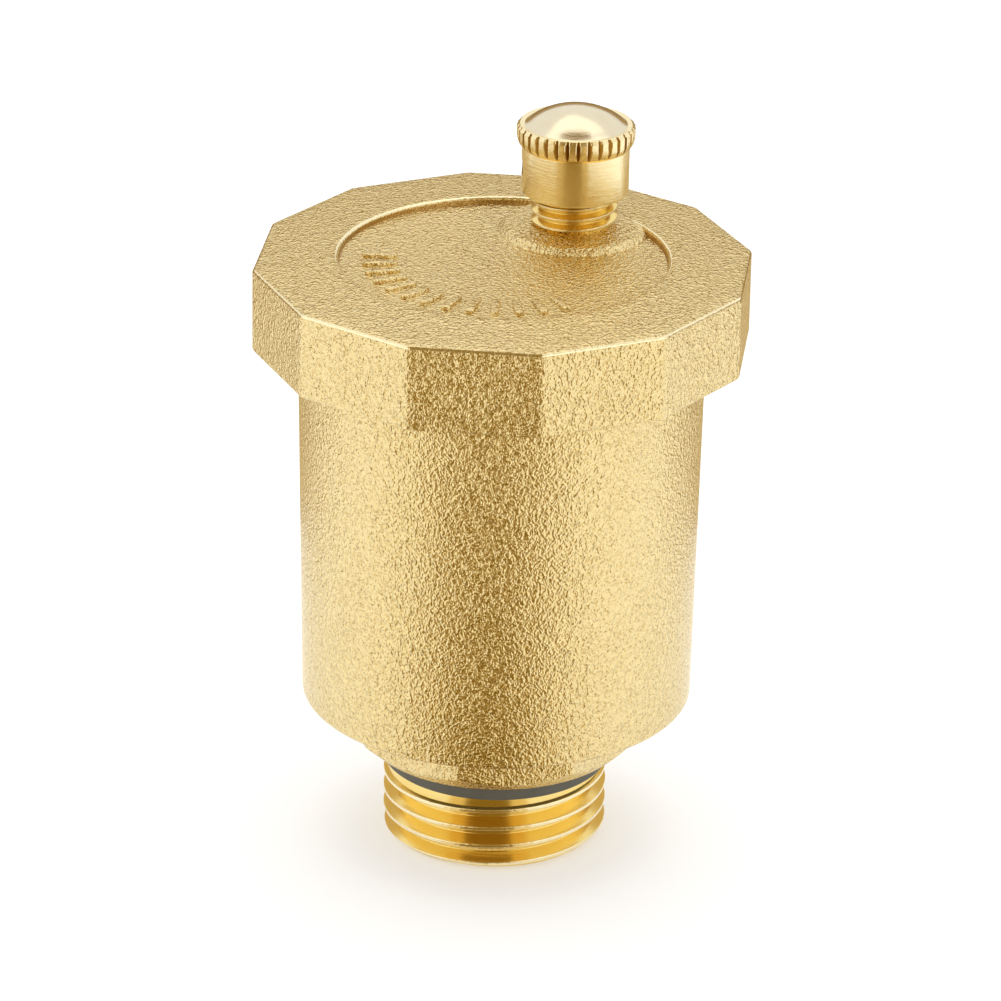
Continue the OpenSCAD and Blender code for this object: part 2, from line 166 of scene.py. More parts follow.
def cast_surface(at):
    """Blasted casting: small dents side by side, each with a thin bright ridge round it."""
    place = at.millimetres()
    wander = at.node(
        "ShaderNodeTexNoise", sockets={"Vector": place, "Scale": 1.9, "Detail": 1.0},
        out="Color",
    )
    shifted = at.node(
        "ShaderNodeVectorMath", {"operation": "MULTIPLY_ADD"},
        {0: wander, 1: (0.9, 0.9, 0.9), 2: place},
    )
    dents = at.dents(shifted, 2.7, 0.25).power(1.7)
    grit = at.noise(place, 4.4, 1.5, 0.55)
    clouds = at.noise(place, 0.16, 2.0, 0.5)
    height = dents * 0.55 + grit * 0.45
    # Where the dents are deepest, the base colour is painted darker as shade, and the roughness
    # is higher.
    deep = height.between(0.36, 0.20)
    pale = clouds.blend((0.85, 0.69, 0.355, 1), (0.83, 0.66, 0.325, 1))
    return at.node("ShaderNodeBsdfPrincipled", sockets={
        "Base Color": (deep * 0.6).blend(pale, (0.62, 0.42, 0.13, 1)),
        "Metallic": 1.0,
        "Roughness": deep * 0.10 + clouds * 0.05 + 0.17,
        "Normal": at.node("ShaderNodeBump", sockets={
            "Height": height, "Strength": 1.0, "Distance": 0.00021}),
    })


def turned_surface(at):
    """Machined brass: bright, with the fine rings that the tool leaves round the axis."""
    place = at.millimetres()
    rings = at.noise(at.stretched(place, (0.15, 0.15, 9.0)), 1.0, 3.0, 0.6)
    stains = at.noise(place, 0.5, 2.0, 0.5)
    return at.node("ShaderNodeBsdfPrincipled", sockets={
        "Base Color": stains.blend((0.95, 0.75, 0.29, 1), (0.92, 0.69, 0.24, 1)),
        "Metallic": 1.0,
        "Roughness": rings * 0.10 + 0.15,
        "Normal": at.node("ShaderNodeBump", sockets={
            "Height": rings, "Strength": 0.5, "Distance": 0.00002}),
    })


def painted_shade_surface(at):
    """Painted shade for the rounding under the drum's foot and the recess's wall: darker and less
    dented.
    """
    place = at.millimetres()
    grit = at.noise(place, 4.4, 1.5, 0.55)
    clouds = at.noise(place, 0.5, 2.0, 0.5)
    return at.node("ShaderNodeBsdfPrincipled", sockets={
        "Base Color": clouds.blend((0.60, 0.41, 0.16, 1), (0.48, 0.31, 0.10, 1)),
        "Metallic": 1.0,
        "Roughness": grit * 0.12 + 0.22,
        "Normal": at.node("ShaderNodeBump", sockets={
            "Height": grit, "Strength": 1.0, "Distance": 0.00009}),
    })


def worn_highlight_surface(at):
    """Edges and crests rubbed smooth; their paler colour is partly wear and partly a painted
    highlight.
    """
    place = at.millimetres()
    wear = at.noise(place, 2.5, 2.0, 0.5)
    return at.node("ShaderNodeBsdfPrincipled", sockets={
        "Base Color": wear.blend((0.99, 0.90, 0.62, 1), (0.95, 0.81, 0.48, 1)),
        "Metallic": 1.0,
        "Roughness": wear * 0.12 + 0.16,
        "Normal": at.node("ShaderNodeBump", sockets={
            "Height": wear, "Strength": 1.0, "Distance": 0.00005}),
    })


cast_brass = material("cast_brass", cast_surface)
turned_brass = material("turned_brass", turned_surface)
# This darker brass is painted shade, for the rounding under the drum's foot and the recess's
# wall.
painted_shade_brass = material("painted_shade_brass", painted_shade_surface)
# This paler brass is wear on rubbed edges and crests, and also a painted highlight.
worn_highlight_brass = material("worn_highlight_brass", worn_highlight_surface)
casting_materials = [cast_brass, turned_brass, painted_shade_brass, worn_highlight_brass]


def outline(corners, steps=5):
    """Points (r, z) of an outline whose corners are given as (r, z, rounding)."""
    points = []
    for k, (r, z, rounding) in enumerate(corners):
        here = Vector((r, z))
        back = Vector(corners[k - 1][:2]) - here
        on = Vector(corners[(k + 1) % len(corners)][:2]) - here
        if rounding == 0:
            points.append((r, z))
            continue
        back.normalize()
        on.normalize()
        half = back.angle(on) / 2
        centre = here + (back + on).normalized() * rounding / math.sin(half)
        first = here + back * rounding / math.tan(half) - centre
        last = here + on * rounding / math.tan(half) - centre
        turn = first.angle_signed(last)
        for i in range(steps + 1):
            spoke = first.copy()
            spoke.rotate(Matrix.Rotation(-turn * i / steps, 2))
            points.append(tuple(centre + spoke))
    return points


def lathe(points, steps=128, closed=True):
    """An outline spun round the Z axis; one that isn't closed starts and ends on the axis."""
    made = bmesh.new()
    verts = [made.verts.new((r, 0, z)) for r, z in points]
    pairs = list(zip(verts, verts[1:] + verts[:1])) if closed else list(zip(verts, verts[1:]))
    edges = [made.edges.new(pair) for pair in pairs]
    bmesh.ops.spin(
        made, geom=verts + edges, cent=(0, 0, 0), axis=(0, 0, 1), angle=2 * math.pi,
        steps=steps, use_merge=True,
    )
    bmesh.ops.remove_doubles(made, verts=made.verts, dist=0.0001)
    bmesh.ops.recalc_face_normals(made, faces=made.faces)
    return made


def thread(crest_r, root_r, pitch, envelope, crest=(0, 0), thinning=0.0, steps=96):
    """A helical ridge, cut to a turned ring. A crest passes the given height and angle."""
    made = bmesh.new()
    out = math.copysign(1.0, crest_r - root_r)
    half, flat = pitch / 2 - 0.004 - thinning, pitch / 12 - thinning / 2
    soft = pitch / 18
    section = outline([
        (root_r - 0.3 * out, -half, 0), (root_r, -half, 0), (root_r, flat - half, soft),
        (crest_r, -flat, soft), (crest_r, flat, soft), (root_r, half - flat, soft),
        (root_r, half, 0), (root_r - 0.3 * out, half, 0),
    ], 4)
    low_z = min(z for r, z, rounding in envelope)
    high_z = max(z for r, z, rounding in envelope)
    first_z = low_z - pitch
    turns = math.ceil((high_z - low_z) / pitch) + 2
    verts = [made.verts.new((r, 0, z)) for r, z in section]
    edges = [made.edges.new(pair) for pair in zip(verts, verts[1:] + verts[:1])]
    bmesh.ops.spin(
        made, geom=verts + edges, cent=(0, 0, 0), axis=(0, 0, 1), dvec=(0, 0, pitch / steps),
        angle=2 * math.pi * turns, steps=turns * steps,
    )
    bmesh.ops.holes_fill(made, edges=made.edges)
    start = math.radians(crest[1] - 360 * (crest[0] - first_z) / pitch)
    bmesh.ops.rotate(
        made, verts=made.verts, cent=(0, 0, 0), matrix=Matrix.Rotation(start, 3, "Z")
    )
    bmesh.ops.translate(made, vec=(0, 0, first_z), verts=made.verts)
    bmesh.ops.recalc_face_normals(made, faces=made.faces)
    return cut(made, lathe(outline(envelope)), "INTERSECT")


def cut(made, tool, operation="DIFFERENCE"):
    """One closed shell cut by another, which is used up."""
    shells = []
    for shell in (made, tool):
        mesh = bpy.data.meshes.new("shell")
        shell.to_mesh(mesh)
        shell.free()
        shells.append(bpy.data.objects.new("shell", mesh))
        bpy.context.scene.collection.objects.link(shells[-1])
    modifier = shells[0].modifiers.new("cut", "BOOLEAN")
    modifier.operation = operation
    modifier.solver = "MANIFOLD"
    modifier.object = shells[1]
    done = bmesh.new()
    done.from_object(shells[0], bpy.context.evaluated_depsgraph_get())
    for shell in shells:
        bpy.data.meshes.remove(shell.data)
    return done


def join(whole, part, index=0):
    """Adds one shell to another, with its own material."""
    for face in part.faces:
        face.material_index = index
    passing = bpy.data.meshes.new("passing")
    part.to_mesh(passing)
    part.free()
    whole.from_mesh(passing)
    bpy.data.meshes.remove(passing)


def finish_piece(made, name, body, materials, nodes=(), sharp=35):
    """Brings a piece to metres, smooths it, and joins it to the body that it moves with."""
    bmesh.ops.scale(made, vec=(0.001, 0.001, 0.001), verts=made.verts)
    mesh = bpy.data.meshes.new(name)
    made.to_mesh(mesh)
    made.free()
    mesh.shade_smooth()
    mesh.set_sharp_from_angle(angle=math.radians(sharp))
    for each in materials:
        mesh.materials.append(each)
    piece = bpy.data.objects.new(name, mesh)
    bpy.context.scene.collection.objects.link(piece)
    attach(piece, body)
    if nodes:
        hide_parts(*nodes)
    return piece


def rounded_polygon(sides, apothem, rounding, turn):
    """Radius of a regular polygon with rounded corners, as a function of the angle."""
    half = math.pi / sides
    reach = (apothem - rounding) / math.cos(half)
    meet = math.atan((apothem - rounding) * math.tan(half) / apothem)

    def radius(angle):
        off = (angle - math.radians(turn) + half) % (2 * half) - half
        if abs(off) < meet:
            return apothem / math.cos(off)
        rest = half - abs(off)
        return reach * math.cos(rest) + math.sqrt(
            max(rounding ** 2 - (reach * math.sin(rest)) ** 2, 0)
        )

    return radius


def crowd_corners(made, sides, turn, share=0.85):
    """Draws a lathe's seams together at the corners of the polygon that it is to become."""
    half = math.pi / sides
    for vert in made.verts:
        r = math.hypot(vert.co.x, vert.co.y)
        angle = math.atan2(vert.co.y, vert.co.x) - math.radians(turn)
        face = round(angle / (2 * half))
        off = angle / half - 2 * face
        moved = (1 - share) * off + share * math.sin(math.pi / 2 * off)
        angle = math.radians(turn) + half * (2 * face + moved)
        vert.co = (r * math.cos(angle), r * math.sin(angle), vert.co.z)


def smooth_step(value, low, high):
    share = min(max((value - low) / (high - low), 0), 1)
    return share * share * (3 - 2 * share)


root_r = inlet_r - inlet_depth
body = lathe(outline([
    (bore_r, 0, 0.25), (root_r, 0, 0.15), (root_r, ring_low.z - 0.25, 0.1),
    (groove_r, ring_low.z - 0.15, 0), (groove_r, drum_z + 0.2, 0), (drum_foot_r - 2, drum_z, 0),
    (drum_foot_r, drum_z, 0.4), (drum_top_r, drum_top_z, 0.2),
    (joint_r - joint_depth, drum_top_z, 0.1), (joint_r - joint_depth, rim_z, 0.15),
    (chamber_r, rim_z, 0.2), (chamber_r, drum_z + chamber_floor, 1.0),
    (bore_r, drum_z + chamber_floor, 0.4),
]))

octagon = lathe(outline([
    (groove_r - 1, octagon_z, 0), (octagon_af / 2, octagon_z, 0.1),
    (octagon_af / 2, drum_z + 0.1, 0.0), (groove_r - 1, drum_z + 0.1, 0),
]), steps=8 * 24)
side = [edge for edge in octagon.edges if abs(edge.verts[0].co.z - edge.verts[1].co.z) > 1]
bmesh.ops.subdivide_edges(octagon, edges=side, cuts=30, use_grid_fill=True)
crowd_corners(octagon, 8, 0)
octagon_side = rounded_polygon(8, octagon_af / 2, octagon_corner, 0)
for vert in octagon.verts:
    r = math.hypot(vert.co.x, vert.co.y)
    if r > groove_r:
        cone = octagon_foot_r + octagon_flare * (vert.co.z - octagon_z)
        reach = min(octagon_side(math.atan2(vert.co.y, vert.co.x)), cone)
        factor = reach / (octagon_af / 2)
        vert.co = (vert.co.x * factor, vert.co.y * factor, vert.co.z)
join(body, octagon)

for k in range(rib_count):
    rib = bmesh.new()
    bmesh.ops.create_cube(rib, size=1)
    bmesh.ops.scale(rib, vec=(chamber_r - rib_inner_r + 0.3, rib_w, rib_h), verts=rib.verts)
    bmesh.ops.translate(
        rib, vec=((chamber_r + rib_inner_r + 0.3) / 2, 0, drum_z + chamber_floor + 0.5),
        verts=rib.verts,
    )
    bmesh.ops.bevel(
        rib, geom=rib.edges, offset=0.35, segments=3, profile=0.5, affect="EDGES", material=-1
    )
    turn = Matrix.Rotation(math.radians(360 * (k + 0.5) / rib_count), 3, "Z")
    bmesh.ops.rotate(rib, verts=rib.verts, cent=(0, 0, 0), matrix=turn)
    join(body, rib)

thread_top = ring_low.z - 0.05
join(body, thread(inlet_r, root_r, inlet_pitch, [
    (root_r - 0.2, 0.02, 0), (inlet_r - 0.75, 0.02, 0.1), (inlet_r + 0.1, 0.87, 0),
    (inlet_r + 0.1, thread_top - 0.1, 0), (root_r - 0.2, thread_top, 0),
], first_crest), 1)
join(body, lathe(outline([
    (root_r - 0.2, thread_top - 1.5, 0), (inlet_r - run_out, thread_top - 1.05, 0.1),
    (inlet_r - run_out, thread_top, 0.03), (root_r - 0.2, thread_top, 0),
])), 1)
join(body, thread(joint_r, joint_r - joint_depth, joint_pitch, [
    (joint_r - joint_depth - 0.2, drum_top_z + 0.1, 0), (joint_r + 0.1, drum_top_z + 0.8, 0),
    (joint_r + 0.1, rim_z - 0.8, 0), (joint_r - joint_depth - 0.2, rim_z - 0.1, 0),
]), 1)

# What the lathe turned is bright; the rounding under the drum's foot is painted dark as shade,
# and the crests are worn and paler as a painted highlight.
for face in body.faces:
    middle = face.calc_center_median()
    middle_r = math.hypot(middle.x, middle.y)
    if (middle_r < root_r + 0.01 and middle.z < octagon_z) or middle.z > drum_top_z + 0.15:
        face.material_index = 1
    elif middle_r > drum_foot_r - 0.4 and drum_z - 0.1 < middle.z < drum_z + 0.2:
        face.material_index = 2
    elif middle_r > inlet_r - 0.06 and middle.z < ring_low.z:
        face.material_index = 3
finish_piece(body, "body_casting", "casing", casting_materials, ["body"])


# Seal ring: flat ring of moulded black rubber in the groove between the thread and the octagon.
# It is stretched over the thread, and the fitting's end face squeezes it.
def rubber_surface(at):
    """Moulded black rubber, dull, with faint bloom."""
    place = at.millimetres()
    fine = at.noise(place, 6.0, 3.0, 0.6)
    bloom = at.noise(place, 0.8, 2.0, 0.5)
    return at.node("ShaderNodeBsdfPrincipled", sockets={
        "Base Color": bloom.blend((0.10, 0.094, 0.07, 1), (0.08, 0.075, 0.055, 1)),
        "Roughness": fine * 0.2 + 0.5,
        "Normal": at.node("ShaderNodeBump", sockets={
            "Height": fine, "Strength": 0.6, "Distance": 0.00003}),
    })


rubber = material("seal_rubber", rubber_surface)
ring_taper = 0.35
seal_ring = lathe(outline([
    (groove_r, ring_low.z, 0.2), (ring_high.x - ring_taper, ring_low.z, 0.2),
    (ring_high.x, ring_high.z - 0.4, 0.4), (ring_high.x, ring_high.z, 0.3),
    (groove_r, ring_high.z, 0.2),
]))
finish_piece(
    seal_ring, "seal_ring", "casing", [rubber], ["inlet_seal_ring"]
)


# Float: a thin-walled drum of polypropylene, moulded in its natural colour. A lid of the same
# is welded to it, and it hangs from the lever by an eye screw.
def float_surface(at):
    """Natural polypropylene: milky and waxy, with faint flow marks."""
    place = at.millimetres()
    flow = at.noise(at.stretched(place, (0.4, 0.4, 0.12)), 1.0, 3.0, 0.6)
    fine = at.noise(place, 5.0, 2.0, 0.5)
    return at.node("ShaderNodeBsdfPrincipled", sockets={
        "Base Color": flow.blend((0.80, 0.79, 0.73, 1), (0.70, 0.69, 0.63, 1)),
        "Roughness": fine * 0.12 + 0.36,
        "Normal": at.node("ShaderNodeBump", sockets={
            "Height": fine, "Strength": 0.4, "Distance": 0.00002}),
    })


def soften(node, name, body, surface, width, sharp=35):
    """Replaces a part by its own shell, closed, with the edges broken by the given width."""
    made = bmesh.new()
    made.from_mesh(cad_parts[node].data)
    bmesh.ops.scale(made, vec=(1000, 1000, 1000), verts=made.verts)
    bmesh.ops.remove_doubles(made, verts=made.verts, dist=0.002)
    bmesh.ops.dissolve_limit(
        made, angle_limit=math.radians(0.5), verts=made.verts, edges=made.edges
    )
    edges = [edge for edge in made.edges if edge.calc_face_angle(0) > math.radians(sharp)]
    bmesh.ops.bevel(
        made, geom=edges, offset=width, segments=2, profile=0.5, affect="EDGES", material=-1,
        clamp_overlap=True,
    )
    bmesh.ops.recalc_face_normals(made, faces=made.faces)
    finish_piece(made, name, body, [surface], [node])


float_plastic = material("float_plastic", float_surface)
soften("float_shell", "float_drum", "float", float_plastic, 0.3)
soften("float_lid", "float_cap", "float", float_plastic, 0.2)


# Valve gear: bracket and lever pressed from stainless sheet, with turned pins. Two pan-head
# screws hold the bracket to the cover, and the float's eye screw is locked by a nut.
def steel_surface(at):
    """Stainless sheet with the mill's fine rolling lines."""
    place = at.millimetres()
    lines = at.noise(at.stretched(place, (0.3, 6.0, 6.0)), 1.0, 3.0, 0.6)
    patches = at.noise(place, 0.6, 2.0, 0.5)
    return at.node("ShaderNodeBsdfPrincipled", sockets={
        "Base Color": patches.blend((0.62, 0.61, 0.59, 1), (0.52, 0.51, 0.50, 1)),
        "Metallic": 1.0,
        "Roughness": lines * 0.16 + 0.20,
        "Normal": at.node("ShaderNodeBump", sockets={
            "Height": lines, "Strength": 0.4, "Distance": 0.00001}),
    })


stainless = material("stainless", steel_surface)
for node, name, body, width in (
    ("lever_bracket", "bracket_pressing", "casing", 0.12),
    ("bracket_screws", "pan_head_screws", "casing", 0.1),
    ("bracket_washers", "flat_washers", "casing", 0.08),
    ("lever_pin", "pivot_pin", "casing", 0.08),
    ("lever_pin_clip", "retaining_ring", "casing", 0.06),
    ("valve_lever", "lever_channel", "lever", 0.12),
    ("float_link_pin", "riveted_pin", "lever", 0.08),
    ("float_link", "eye_screw", "float", 0.1),
    ("float_link_nut", "locking_nut", "float", 0.12),
):
    soften(node, name, body, stainless, width)


# Spring: hard-drawn stainless wire, wound in four open turns between the plunger's flange and
# the jet's head, and squeezed between them as the valve closes.
spring_low, spring_high = (corner * 1000 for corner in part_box("valve_spring"))
wire_r = 0.2
spring_turns = 4
spring_steps = 40
spring_rise = spring_high.z - spring_low.z - 2 * wire_r
spring = bmesh.new()
bmesh.ops.create_circle(spring, segments=12, radius=wire_r)
bmesh.ops.rotate(
    spring, verts=spring.verts, cent=(0, 0, 0), matrix=Matrix.Rotation(math.pi / 2, 3, "X")
)
bmesh.ops.translate(
    spring, vec=((spring_high.x - spring_low.x) / 2 - wire_r, 0, spring_low.z + wire_r),
    verts=spring.verts,
)
bmesh.ops.spin(
    spring, geom=spring.verts[:] + spring.edges[:], cent=(0, 0, 0), axis=(0, 0, 1),
    dvec=(0, 0, spring_rise / (spring_turns * spring_steps)), angle=2 * math.pi * spring_turns,
    steps=spring_turns * spring_steps,
)
bmesh.ops.holes_fill(spring, edges=spring.edges)
bmesh.ops.recalc_face_normals(spring, faces=spring.faces)
spring_x = (spring_low.x + spring_high.x) / 2
bmesh.ops.translate(spring, vec=(spring_x, 0, 0), verts=spring.verts)
wire = finish_piece(spring, "spring_coil", "casing", [stainless], ["valve_spring"])
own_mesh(wire)


# Jet and plunger: both turned from brass bar. The jet is sealed in the cover by an O-ring, and
# the plunger closes it with a rubber pad.
soften("vent_nozzle", "jet", "casing", turned_brass, 0.1)
soften("nozzle_o_ring", "jet_o_ring", "casing", rubber, 0.05)
soften("valve_plunger", "plunger_stem", "plunger", turned_brass, 0.08)
soften("valve_pad", "plunger_pad", "plunger", rubber, 0.08)


# Gasket: a flat ring cut from rubber sheet. The cover squeezes it on the drum's rim as it is
# screwed down.
soften("cover_gasket", "gasket_ring", "casing", rubber, 0.1)


# Cover: a second brass casting, blasted like the body. It has twelve flats, a gently rising
# outer ring, a round recess, and the vent's boss, from which the neck's M8 thread is turned.
cover_apothem = cover_high.x
cover_turn = 0
vent_x = 10.9
recess_r = 14.95
edge_z = cover_low.z + 8.05
recess_z = edge_z - 0.3
lip_z = edge_z + 0.35
plate_z = gasket_high.z
pad_z = plate_z - 0.8
boss_z = edge_z + 0.55
boss_rim_r = 6.2
boss_foot_r = 6.95
jet_top_z = edge_z + 2.1
jet_hole_r = 3.2
screw_x, screw_y = 4.5, 7.0
screw_hole_r = 1.9
pad_r = 3.4
neck_r = 4.0
neck_root_r = 3.4
neck_z = cover_high.z
neck_pitch = 1.0
neck_hole_r = 1.6
skirt_r = joint_r - joint_depth + 0.05
edge_r = 0.38
cover_sides = 12
cover_corner = 1.0
steps_per_side = 24


def along(start, end, count):
    """Evenly spaced points after start, up to and including end."""
    return [
        tuple(Vector(start).lerp(Vector(end), (i + 1) / count)) for i in range(count)
    ]


wall = outline([
    (0, plate_z, 0), (skirt_r, plate_z, 0.2), (skirt_r, cover_low.z + 0.4, 0.1),
    (drum_top_r + 0.05, cover_low.z + 0.3, 0.1), (drum_top_r + 0.05, cover_low.z, 0.15),
    (cover_apothem, cover_low.z, edge_r), (cover_apothem, edge_z, edge_r),
    (cover_apothem - 2, edge_z + 0.1, 0),
], 6)
ring_line = along(wall[-1], (recess_r + 0.8, lip_z - 0.01), 6)
lip = outline([
    (recess_r + 2, lip_z - 0.05, 0), (recess_r + 0.1, lip_z, 0.4), (recess_r, recess_z, 0.06),
    (recess_r - 1, recess_z, 0),
], 6)[1:-1]
floor_line = along(lip[-1], (0, recess_z), 6)
cover = lathe(
    wall + ring_line + lip + floor_line, cover_sides * steps_per_side, closed=False
)
crowd_corners(cover, cover_sides, cover_turn)
cover_side = rounded_polygon(cover_sides, cover_apothem, cover_corner, cover_turn)
for vert in cover.verts:
    r = math.hypot(vert.co.x, vert.co.y)
    if r > skirt_r + 0.5:
        share = smooth_step(r, drum_top_r + 0.3, cover_apothem - 0.5)
        reach = cover_side(math.atan2(vert.co.y, vert.co.x)) / cover_apothem
        factor = 1 + (reach - 1) * share
        vert.co = (vert.co.x * factor, vert.co.y * factor, vert.co.z)

# The recess's wall is painted dark as shade, and its top edge and the cover's own are worn and
# paler as a painted highlight.
for face in cover.faces:
    middle = face.calc_center_median()
    middle_r = math.hypot(middle.x, middle.y)
    if recess_r - 0.12 < middle_r < recess_r + 0.5 and recess_z - 0.1 < middle.z < lip_z - 0.28:
        face.material_index = 2
    elif abs(middle_r - recess_r - 0.3) < 0.2 and lip_z - 0.24 < middle.z < lip_z - 0.02:
        face.material_index = 3
    elif middle_r > cover_apothem - 0.3 and edge_z - 0.28 < middle.z < edge_z - 0.02:
        face.material_index = 3

# The holes for the jet and the screws are sunk in the plate, and each pad below it is a ring.
for x, y, r, top in (
    (vent_x, 0, jet_hole_r, 60), (screw_x, screw_y, screw_hole_r, 56),
    (screw_x, -screw_y, screw_hole_r, 56),
):
    hole = lathe([(0, pad_z), (r, pad_z), (r, top), (0, top)], 48, closed=False)
    bmesh.ops.translate(hole, vec=(x, y, 0), verts=hole.verts)
    cover = cut(cover, hole)
for y in (-screw_y, screw_y):
    pad = lathe(outline([
        (0, 56, 0), (1.5, 56, 0), (1.5, pad_z, 0.15), (pad_r, pad_z, 0.2),
        (pad_r, plate_z + 0.2, 0), (2.2, plate_z + 0.2, 0), (2.2, 56.2, 0), (0, 56.2, 0),
    ]), 48, closed=False)
    bmesh.ops.translate(pad, vec=(screw_x, y, 0), verts=pad.verts)
    join(cover, pad)
join(cover, thread(joint_r - joint_depth + 0.05, joint_r + 0.05, joint_pitch, [
    (joint_r + 0.2, cover_low.z + 0.4, 0), (joint_r + 0.2, rim_z - 0.3, 0),
    (joint_r - 0.9, rim_z - 0.3, 0), (joint_r - 0.9, cover_low.z + 0.4, 0),
], (joint_pitch / 2, 0), 0.04), 1)

# The boss is a low cone with a rounded rim, which runs over the recess's lip on one side.
boss = lathe(outline([
    (neck_root_r - 0.2, recess_z - 0.5, 0), (boss_foot_r + 0.3, recess_z - 0.5, 0),
    (boss_foot_r + 0.05, recess_z + 0.06, 0.3), (boss_rim_r + 0.15, recess_z + 0.52, 0.28),
    (neck_root_r - 0.2, boss_z + 0.05, 0),
], 6), 128)
bmesh.ops.translate(boss, vec=(vent_x, 0, 0), verts=boss.verts)
join(cover, boss)

# Marks cast in the recess: plain raised strokes, all alike, along an arc.
mark_r = 11.3
mark_count = 13
mark_half_w = 0.4
mark_half_l = 1.25
mark_h = 0.3
mark_start, mark_spacing = 121, 10.2
for k in range(mark_count):
    mark = bmesh.new()
    bmesh.ops.create_circle(mark, cap_ends=True, segments=24, radius=mark_half_w)
    for vert in mark.verts:
        vert.co.x += math.copysign(mark_half_l, vert.co.x)
    top = bmesh.ops.extrude_face_region(mark, geom=mark.faces[:])["geom"]
    raised = [item for item in top if isinstance(item, bmesh.types.BMVert)]
    bmesh.ops.translate(mark, vec=(0, 0, mark_h + 0.3), verts=raised)
    rim = {edge for vert in raised for edge in vert.link_edges if edge.other_vert(vert) in raised}
    bmesh.ops.bevel(
        mark, geom=list(rim), offset=0.14, segments=3, profile=0.5, affect="EDGES", material=-1
    )
    bmesh.ops.recalc_face_normals(mark, faces=mark.faces)
    bmesh.ops.translate(mark, vec=(mark_r, 0, recess_z - 0.3), verts=mark.verts)
    turn = Matrix.Rotation(math.radians(mark_start + mark_spacing * k), 3, "Z")
    bmesh.ops.rotate(mark, verts=mark.verts, cent=(0, 0, 0), matrix=turn)
    join(cover, mark)

# The neck is turned on the same casting, and bored for the jet below and the air above.
neck = lathe(outline([
    (3, pad_z, 0.2), (4.5, pad_z, 0.2), (4.5, plate_z + 0.3, 0), (neck_root_r, plate_z + 0.3, 0),
    (neck_root_r, neck_z, 0.15), (neck_hole_r, neck_z, 0.2), (neck_hole_r, jet_top_z, 0),
    (3, jet_top_z, 0),
]), 64)
join(neck, thread(neck_r, neck_root_r, neck_pitch, [
    (neck_root_r - 0.2, boss_z - 0.6, 0), (neck_r + 0.1, boss_z - 0.6, 0),
    (neck_r + 0.1, neck_z - 0.6, 0), (neck_root_r - 0.2, neck_z - 0.02, 0),
], (boss_z + 0.45, 216), 0, 64))
bmesh.ops.translate(neck, vec=(vent_x, 0, 0), verts=neck.verts)
join(cover, neck, 1)
# The neck thread's crests get the worn brass, paler as a painted highlight.
for face in cover.faces:
    middle = face.calc_center_median()
    middle_r = math.hypot(middle.x - vent_x, middle.y)
    if middle.z > boss_z and neck_r - 0.05 < middle_r < neck_r + 0.1:
        face.material_index = 3
finish_piece(cover, "cover_casting", "casing", casting_materials, ["cover"])


# Vent cap: turned from brass bar, with a smooth barrel, a crowned rim with straight knurling and
# a polished dome. It screws on the neck, and lets the air out by a hole in its side.
cap_low, cap_high = (corner * 1000 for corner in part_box("vent_cap"))
cap_barrel_r = 4.95
cap_rim_r = 5.45
cap_rim_z = cap_low.z + 4.6
cap_rim_h = 2.0
cap_bore_r = neck_r + 0.05
cap_roof_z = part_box("vent_cap_seal")[1].z * 1000 + 0.1
dome_r = 4.6
teeth = 33
knurl_depth = 0.38
knurl_half = 0.21
side_hole_r = 1
side_hole_bearing = 128
undercut = 0.12


def cap_surface(at):
    """Turned and polished brass, paler than the threads, with fine rings from the tool."""
    place = at.millimetres()
    rings = at.noise(at.stretched(place, (0.25, 0.25, 14.0)), 1.0, 3.0, 0.65)
    stains = at.noise(place, 0.7, 2.0, 0.5)
    return at.node("ShaderNodeBsdfPrincipled", sockets={
        "Base Color": stains.blend((0.97, 0.84, 0.52, 1), (0.95, 0.80, 0.45, 1)),
        "Metallic": 1.0,
        "Roughness": rings * 0.10 + 0.11,
        "Normal": at.node("ShaderNodeBump", sockets={
            "Height": rings, "Strength": 0.6, "Distance": 0.00003}),
    })


def dome_reflection_surface(at):
    """The dome's brass is paler than the turned barrel's, a painted reflection of the bright sky
    above, with the same fine rings.
    """
    place = at.millimetres()
    rings = at.noise(at.stretched(place, (1.2, 1.2, 14.0)), 1.0, 3.0, 0.6)
    stains = at.noise(place, 0.9, 2.0, 0.5)
    return at.node("ShaderNodeBsdfPrincipled", sockets={
        "Base Color": stains.blend((0.82, 0.74, 0.55, 1), (0.79, 0.69, 0.48, 1)),
        "Metallic": 1.0,
        "Roughness": rings * 0.10 + 0.13,
        "Normal": at.node("ShaderNodeBump", sockets={
            "Height": rings, "Strength": 0.5, "Distance": 0.00002}),
    })


def knurl_shade_surface(at):
    """The grooves of the knurling, painted darker: painted shade in the grooves."""
    place = at.millimetres()
    stains = at.noise(place, 3.0, 2.0, 0.5)
    return at.node("ShaderNodeBsdfPrincipled", sockets={
        "Base Color": stains.blend((0.62, 0.43, 0.15, 1), (0.50, 0.33, 0.10, 1)),
        "Metallic": 1.0,
        "Roughness": stains * 0.10 + 0.20,
    })


